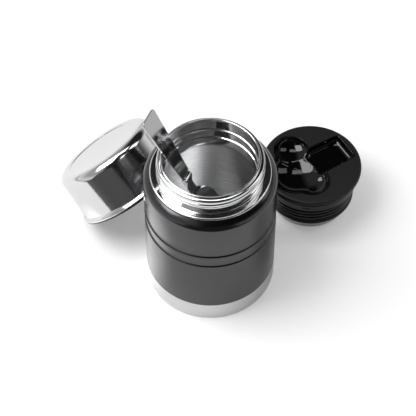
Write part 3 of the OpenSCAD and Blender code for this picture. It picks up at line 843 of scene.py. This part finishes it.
def hollow_depth(x, y, circle):
    far = math.hypot(x - circle["centre"][0], y - circle["centre"][1]) / circle["radius"]
    return circle["depth"] * soft_floor(far, HOLLOW_POWERS)


def slot_depth(x, y):
    if x < SLOT_START:
        return 0
    end = (x - SLOT_RAMP) / (SLOT_REACH - SLOT_RAMP)
    sides = soft_floor(abs(y) / slot_half(y), SLOT_SIDE_POWERS)
    return SLOT_DEPTH * sides * soft_floor(end, SLOT_END_POWERS)


def tray_depth(x, y):
    """The soft maximum of the four hollows."""
    parts = [hollow_depth(x, y, c) for c in (HOLLOW, FINGER, THUMB)] + [slot_depth(x, y)]
    return sum(p ** BLEND for p in parts) ** (1 / BLEND)


def ray_number(angle):
    return round(angle / math.tau * TRAY_RAYS) % TRAY_RAYS


def depth_on_ray(k, share):
    """The depth on a ray, at a share of the way to the rim."""
    a, far = math.tau * k / TRAY_RAYS, share * RAW_REACH[k]
    return tray_depth(far * math.cos(a), far * math.sin(a)) if share < 1 else 0


# %% The tray and the disc
TRAY_STEPS, STEP_EASE, RIM_SHARE = 44, 2.2, 0.97
EDGE_ROUND = 0.5
DISC_ROUND, DISC_CHAMFER, RIM_CHAMFER, TRAY_GAP = 1.6, 0.8, 0.1, 0.02
TRAY_PLACE = STOPPER @ Matrix.Translation((0, 0, STOPPER_H)) @ Matrix.Rotation(TRAY_TURN, 4, "Z")


def tray_column(angle):
    """The section of the tray along one ray: its floor, its rounded rim and its underside."""
    k = ray_number(angle)
    reach = SOFT_REACH[k]
    upper, lower = [], []
    for i in range(TRAY_STEPS + 1):
        share = 1 - (1 - i / TRAY_STEPS) ** STEP_EASE
        depth = depth_on_ray(k, share)
        upper.append((share * reach, -max(depth, EDGE_ROUND if share > RIM_SHARE else 0)))
        lower.append((share * (reach + TRAY_T), -depth - TRAY_T))
    rim = arc((reach + EDGE_ROUND, -EDGE_ROUND), EDGE_ROUND, 180, 90, 5)
    return upper[:-1] + rim + [(reach + TRAY_T, 0)] + lower[::-1]


tray = turned("spoon_tray_skin", tray_column, TRAY_PLACE, sides=TRAY_RAYS)
dress(tray, GLOSS_BLACK, "stopper", "tray_gloss", "spoon_tray")


def disc_column(angle):
    inner = SOFT_REACH[ray_number(angle)] + TRAY_T + TRAY_GAP
    low = DISC_Z - STOPPER_H
    edge = arc((DISC_R - DISC_ROUND, -DISC_ROUND), DISC_ROUND, 90, 0, 10)
    foot = [(DISC_R, low + DISC_CHAMFER), (DISC_R - DISC_CHAMFER, low), (inner, low)]
    return [(inner, -RIM_CHAMFER), (inner + RIM_CHAMFER, 0)] + edge + foot


disc = turned("stopper_disc", disc_column, TRAY_PLACE, sides=TRAY_RAYS)
dress(disc, SATIN_BLACK, "stopper", "stopper_satin", "stopper_cap")

# %% The foam under the tray
FOAM_GAP, FOAM_LIFT = 0.15, 0.05
FOAM_R, FOAM_TOP, FOAM_STEPS = PAN_R - STEEL_T - FOAM_GAP, -6.7, 40


def foam_column(angle):
    """The section of the foam along one ray: its foot in the pan, and its top under the tray."""
    k = ray_number(angle)
    low = STEEL_T + FOAM_LIFT - STOPPER_H
    column = [(0, low), (FOAM_R - FOOT_ROLL, low), (FOAM_R, low + FOOT_ROLL)]
    for i in range(FOAM_STEPS + 1):
        r = FOAM_R * (1 - i / FOAM_STEPS)
        depth = depth_on_ray(k, r / (SOFT_REACH[k] + TRAY_T))
        column.append((r, min(FOAM_TOP, -depth - TRAY_T - FOAM_GAP)))
    return column


foam = turned("foam_block", foam_column, TRAY_PLACE, sides=TRAY_RAYS)
dress(foam, FOAM, "stopper", "foam", "stopper_foam")

# %% The nubs that hold the folded spoon, and a mark on the skirt
NUB_X, NUB_R, NUB_SINK, NUB_OUT = 21.0, 1.1, 1.7, 0.35
MARK_R, MARK_FLAT, MARK_NARROW = 2.9, 0.12, 0.28
MARK_BEARING, MARK_SPOT, MARK_TILT = math.radians(-98), (35.9, 0, 32.4), math.radians(80)


def ball_section(radius, flat=1.0):
    """Half a round section from pole to pole, flattened along the axis."""
    half = [(x, z * flat) for x, z in arc((0, 0), radius, -90, 90, 12)]
    return [(0, half[0][1])] + half[1:-1] + [(0, half[-1][1])]


for nub_y, label in ((NUB_OUT - SLOT_NEAR, "near"), (SLOT_FAR - NUB_OUT, "far")):
    spot = TRAY_PLACE @ Matrix.Translation((NUB_X, nub_y, -NUB_SINK))
    nub = turned("tray_nub_" + label, ball_section(NUB_R), spot, sides=32)
    dress(nub, GLOSS_BLACK, "stopper", "tray_gloss")

MARK_PLACE = (STOPPER @ Matrix.Rotation(MARK_BEARING, 4, "Z") @ Matrix.Translation(MARK_SPOT)
              @ Matrix.Rotation(MARK_TILT, 4, "Y") @ Matrix.Diagonal((MARK_NARROW, 1, 1, 1)))
skirt_mark = turned("skirt_mark", ball_section(MARK_R, MARK_FLAT), MARK_PLACE, sides=48)
dress(skirt_mark, GLOSS_BLACK, "stopper", "stopper_satin")

# %% [markdown]
# ## The cup
# The cup lies rim down against the jar. It is one polished shell with a flared, rolled lip and a
# slightly sunk panel in its closed end. A black threaded ring is pressed into its mouth, and the
# ring's flange shows as a dark line under the lip.

# %% The cup's place and sizes
CUP_R, CUP_H, CUP_ROUND, CUP_TAPER = 40.0, 39.2, 6.0, 0.5
CUP_LIP_R, CUP_BEAD, FLARE_LIP_H = 42.2, 0.8, 4.0
RING_R, RING_INNER_R, RING_H, RING_STEP, RING_CORNER = 39.4, 38.9, 12.0, 2.8, 0.2
CUP_LEAN, CUP_LEAN_BEARING, CUP_BEARING = 45.4, 142.4, 140.2
REST_GAP = 0.3
PANEL_SHARE, PANEL_SINK, CUP_CORNER = 0.72, 0.6, 0.8
# In radii of the lip's bead: how far in the flare ends, how high it ends, the height that it bends
# at, and the height of the bead's middle
FLARE_IN, FLARE_END, FLARE_BEND, BEAD_RISE = 1.2, 3.3, 3.6, 2.4
# The corners of the ring's flange: how far inside the lip, and how high
FLANGE = ((2 * CUP_BEAD, -0.5), (0.3, 0.15), (0.1, 1.4), (2 * CUP_BEAD, 2.2 * CUP_BEAD))


def cup_place():
    lean, bearing = math.radians(CUP_LEAN), math.radians(CUP_BEARING)
    reach = CUP_LIP_R - CUP_BEAD
    away = BODY_R + REST_GAP + CUP_BEAD * (1 - math.sin(lean)) + reach * math.cos(lean)
    height = reach * math.sin(lean) + CUP_BEAD * (1 - math.cos(lean))
    return (Matrix.Translation((away * math.cos(bearing), away * math.sin(bearing), height))
            @ Matrix.Rotation(math.radians(CUP_LEAN_BEARING), 4, "Z") @ Matrix.Rotation(lean, 4, "Y"))


CUP = cup_place()
print("the cup's mouth is at", [round(v, 2) for v in CUP.translation])

# %% The cup and its ring
def cup_section():
    edge_r = CUP_R - CUP_TAPER
    panel_r, panel_d = CUP_R * PANEL_SHARE, CUP_BEAD * PANEL_SINK
    path = curve((CUP_LIP_R - CUP_BEAD * FLARE_IN, CUP_BEAD * FLARE_END),
                 (CUP_R + CUP_BEAD, CUP_BEAD * FLARE_BEND),
                 (CUP_R, FLARE_LIP_H), (CUP_R, FLARE_LIP_H + CUP_BEAD))
    path += arc((edge_r - CUP_ROUND, CUP_H - CUP_ROUND), CUP_ROUND, 0, 90)
    path += [(panel_r + panel_d, CUP_H), (panel_r, CUP_H - panel_d), (0, CUP_H - panel_d)]
    outside = softened(path, CUP_CORNER)
    inside = softened(beside(path, STEEL_T), CUP_CORNER)
    inside[-1] = (0, inside[-1][1])
    bead = arc((CUP_LIP_R - CUP_BEAD, CUP_BEAD * BEAD_RISE), CUP_BEAD, 160, 430, 26)
    return outside[::-1][:-1] + bead[::-1] + inside[1:]


def ring_section():
    path = [(RING_INNER_R, FLANGE[0][1])] + [(CUP_LIP_R - x, z) for x, z in FLANGE]
    path += [(RING_R, RING_STEP), (RING_R, FLARE_LIP_H), (RING_R - REST_GAP / 2, RING_H),
             (RING_INNER_R, RING_H)]
    return softened(path, RING_CORNER)


dress(turned("steel_cup", cup_section(), CUP), CUP_STEEL, "cup", "cup_steel", "cup_shell")
dress(turned("threaded_ring", ring_section(), CUP), RING_BLACK, "cup", "ring_plastic",
      "cup_thread_ring")
cup_thread = thread("cup_thread", RING_BLACK, RING_INNER_R, ridge=0.9, width=2.0, foot=3.4,
                    climb=6.2, turns=1.5, start=10, place=CUP)
dress(cup_thread, RING_BLACK, "cup", "ring_plastic")

# %% [markdown]
# ## The folding spoon
# The spoon stands in the mouth and leans on the lip. Handle and bowl part are stamped from sheet.
# The bowl part ends in a fork of two ears, the handle in an eye between them, and a rivet joins
# them, so that the spoon folds into the tray. Boolean unions fuse the stamped sheet with its eye
# and its ears.

# %% The spoon's place and sizes
PIVOT = (-16.5195, 3.8592, 102.118)
SPOON = Matrix.Translation(PIVOT)
for turn, axis in ((160.1, "Z"), (26.8, "Y"), (-4.8, "Z")):
    SPOON = SPOON @ Matrix.Rotation(math.radians(turn), 4, axis)
ALONG_Y = Matrix.Rotation(math.pi / 2, 4, "X")
HANDLE_L, HANDLE_W, NOSE_W, HANDLE_T = 62.0, 16.4, 10.0, 1.4
RIVET_R, EYE_BORE, EYE_R, EYE_W, EYE_CORNER = 1.1, 1.15, 2.15, 5.6, 0.2
EAR_R, EAR_Y, EAR_T = 2.35, 3.0, 1.0
STEM_X, BOWL_T, BOWL_D, BOWL_W, BOWL_L, BOWL_REACH = 1.2, 1.2, 7.5, 34.0, 44.0, 58.0
FORK_HALF = EAR_Y + EAR_T

# %% Helpers for stamped pieces
def plate(corners, through):
    """A bmesh with a face through the corners, drawn out along a vector."""
    work = bmesh.new()
    face = work.faces.new([work.verts.new(corner) for corner in corners])
    side = bmesh.ops.extrude_face_region(work, geom=[face])
    verts = [v for v in side["geom"] if isinstance(v, bmesh.types.BMVert)]
    bmesh.ops.translate(work, verts=verts, vec=through)
    return work


def fuse(base, *others, sharp=SHARP_ANGLE):
    """Fuses other pieces into the first one and removes them. Steeper edges than sharp stay sharp."""
    for other in others:
        union = base.modifiers.new("fuse", "BOOLEAN")
        union.operation, union.solver, union.object = "UNION", "EXACT", other
        result = base.evaluated_get(bpy.context.evaluated_depsgraph_get())
        mesh = bpy.data.meshes.new_from_object(result)
        base.modifiers.clear()
        base.data = mesh
        bpy.data.objects.remove(other)
    base.data.polygons.foreach_set("use_smooth", [True] * len(base.data.polygons))
    base.data.set_sharp_from_angle(angle=sharp)
    return base


# %% The handle
HANDLE_FOOT, NOSE_START, NOSE_END, HANDLE_CORNER = EYE_BORE + 0.4, 3.05, 5.2, 2.5
HANDLE_EDGE, HANDLE_SHARP = 0.3, math.radians(12)


def handle_outline():
    """Half the outline in Y and Z, and the same half mirrored."""
    nose = between(NOSE_W, HANDLE_W, NOSE_END / HANDLE_L) / 2
    side = [(EYE_W / 2, HANDLE_FOOT)]
    side += curve((EYE_W / 2, NOSE_START), (nose, NOSE_START),
                  (nose, between(NOSE_START, NOSE_END, 0.5)), (nose, NOSE_END))
    side += arc((HANDLE_W / 2 - HANDLE_CORNER, HANDLE_L - HANDLE_CORNER), HANDLE_CORNER, 0, 90, 10)
    return side + [(-y, z) for y, z in side[::-1]]


def handle_mesh():
    """A plate across X whose edges are rounded."""
    work = plate([(HANDLE_T / 2, y, z) for y, z in handle_outline()], (-HANDLE_T, 0, 0))
    rims = [e for e in work.edges if abs(e.verts[0].co.x - e.verts[1].co.x) < TINY]
    bmesh.ops.bevel(work, geom=rims, offset=HANDLE_EDGE, segments=3, affect="EDGES", profile=0.5)
    return finish_mesh("folding_handle", work, SPOON)


handle = handle_mesh()
eye = turned("eye", softened([(EYE_BORE, -EYE_W / 2), (EYE_R, -EYE_W / 2), (EYE_R, EYE_W / 2),
                              (EYE_BORE, EYE_W / 2)], EYE_CORNER), SPOON @ ALONG_Y, sides=64)
# The handle is flat, so the steps of its rounded edges stay sharp and don't bend its mirror
dress(fuse(handle, eye, sharp=HANDLE_SHARP), SPOON_STEEL, "handle", "spoon_steel", "spoon_handle")

# %% The bowl of the spoon
BOWL_ROWS, BOWL_COLUMNS, ROW_EASE = 110, 40, 1.6
BOWL_POWER, STEM_BLEND, EGG_SKEW = 2.2, 3.2, 0.16
TIP_HALF, FORK_GAP, EAR_TAIL = 0.4, 0.2, 2.9
BOWL_CENTRE = BOWL_L / 2 - BOWL_REACH


def bowl_share(z):
    """A height on the bowl, from -1 at its tip to 1 at its upper end."""
    return (z - BOWL_CENTRE) / (BOWL_L / 2)


def skew(share):
    """How an egg differs from an ellipse at a height: it is wider near the tip."""
    return 1 - EGG_SKEW * max(-1, min(1, share))


def bowl_half_width(z):
    """Half the width of the blank at a height: the egg of the bowl, easing into the stem."""
    share = bowl_share(z)
    egg = BOWL_W / 2 * math.sqrt(max(0, 1 - share * share)) * skew(share)
    stem = FORK_HALF if share > 0 else 0
    return (egg ** STEM_BLEND + stem ** STEM_BLEND) ** (1 / STEM_BLEND)


def bowl_sink(y, z):
    """How deep the bowl is at a place, below the plane of its rim."""
    share = bowl_share(z)
    far = math.hypot(y / (BOWL_W / 2 * skew(share)), share)
    return BOWL_D * (1 - far ** BOWL_POWER) if far < 1 else 0


def bowl_mesh():
    top_z = -EAR_R - FORK_GAP
    work = bmesh.new()
    upper, lower = [], []
    for i in range(BOWL_ROWS + 1):
        z = between(-BOWL_REACH, top_z, (i / BOWL_ROWS) ** ROW_EASE)
        half = max(bowl_half_width(z), TIP_HALF)
        row = [half * math.sin(math.pi * (j / BOWL_COLUMNS - 0.5)) for j in range(BOWL_COLUMNS + 1)]
        upper.append([work.verts.new((STEM_X + bowl_sink(y, z), y, z)) for y in row])
        lower.append([work.verts.new((STEM_X + BOWL_T + bowl_sink(y, z), y, z)) for y in row])
    for i in range(BOWL_ROWS):
        for j in range(BOWL_COLUMNS):
            for grid in (upper, lower):
                work.faces.new((grid[i][j], grid[i][j + 1], grid[i + 1][j + 1], grid[i + 1][j]))
        for j in (0, BOWL_COLUMNS):
            work.faces.new((upper[i][j], lower[i][j], lower[i + 1][j], upper[i + 1][j]))
    for i in (0, BOWL_ROWS):
        for j in range(BOWL_COLUMNS):
            work.faces.new((upper[i][j], lower[i][j], lower[i][j + 1], upper[i][j + 1]))
    return finish_mesh("spoon_bowl_skin", work, SPOON)


def ear(side):
    """One ear of the fork: a plate across Y. It has no bore, because the rivet fills it."""
    tail = EAR_R * EAR_TAIL
    outline = arc((0, 0), EAR_R, -25, 205, 30) + [(STEM_X, -tail), (STEM_X + BOWL_T, -tail)]
    y = side * (EAR_Y + EAR_T / 2) + EAR_T / 2
    return finish_mesh("ear", plate([(x, y, z) for x, z in outline], (0, -EAR_T, 0)), SPOON)


bowl = fuse(bowl_mesh(), ear(-1), ear(1))
dress(bowl, SPOON_STEEL, "spoon", "spoon_steel", "spoon_bowl")

# %% The rivet
HEAD_R, HEAD_END, HEAD_ROUND = 1.98, FORK_HALF + 0.7, 0.5


def rivet_section():
    upper = [(RIVET_R, FORK_HALF), (HEAD_R, FORK_HALF)]
    upper += arc((HEAD_R - HEAD_ROUND, HEAD_END - HEAD_ROUND), HEAD_ROUND, 0, 90, 5) + [(0, HEAD_END)]
    return [(r, -z) for r, z in upper[::-1]] + upper


rivet = turned("rivet", rivet_section(), SPOON @ ALONG_Y, sides=64)
dress(rivet, SPOON_STEEL, "spoon", "spoon_steel", "spoon_rivet")

# %% [markdown]
# ## What lies hidden
# The foil, the sealing plate and the getter don't show from outside. Their CAD shapes are right as
# they are, so they only get their finishes.

# %% Finishes for the hidden pieces
HIDDEN = {"reflector_foil": FOIL, "vacuum_plate": PLAIN_STEEL, "getter": GETTER_METAL}
for name, finish in HIDDEN.items():
    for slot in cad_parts[name].material_slots:
        slot.material = finish
print("hidden pieces:", ", ".join(HIDDEN))
